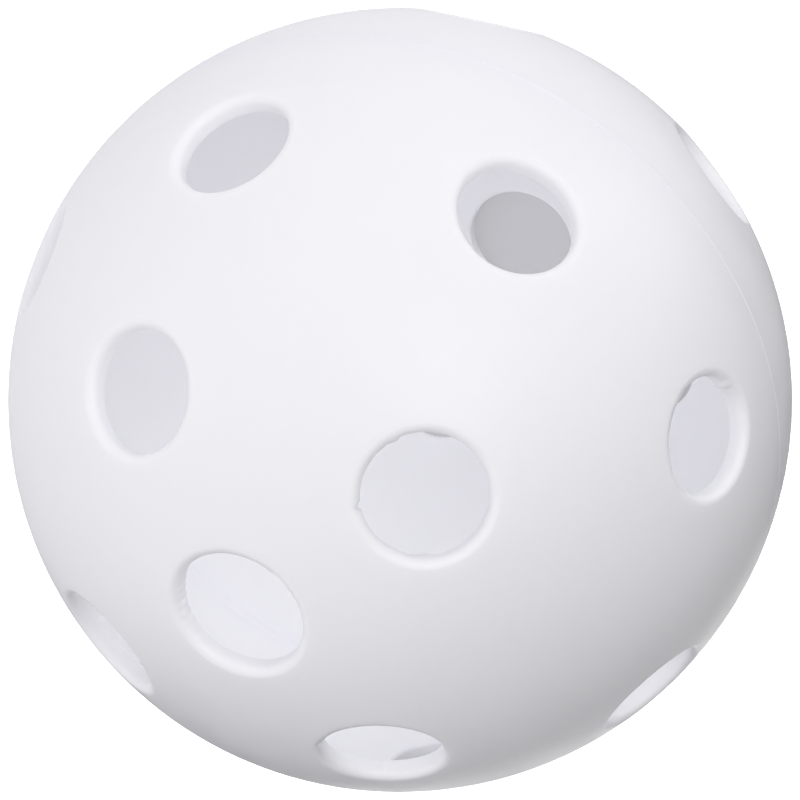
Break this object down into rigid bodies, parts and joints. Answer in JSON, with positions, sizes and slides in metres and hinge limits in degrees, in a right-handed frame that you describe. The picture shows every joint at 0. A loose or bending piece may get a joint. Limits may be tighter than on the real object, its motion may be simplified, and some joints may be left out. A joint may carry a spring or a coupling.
{
  "type": "perforated court game ball",
  "caption": "White hollow plastic pickleball ball of indoor type, two moulded half shells with round holes, welded at the middle.",
  "frame": {"origin": "the ball's centre", "axes": "+Z along the mould's axis through the two pole holes, towards the upper half; the weld lies in the XY plane; +X towards one hole of the upper half's ring of four"},
  "size_m": [0.074, 0.074, 0.0732],
  "materials": {
    "shell": "satin moulded polyethylene",
    "weld": "fused polyethylene, trimmed flush"
  },
  "bodies": {
    "root": {"upper_half_shell": "shell", "lower_half_shell": "shell", "weld_bead": "weld"}
  },
  "joints": []
}
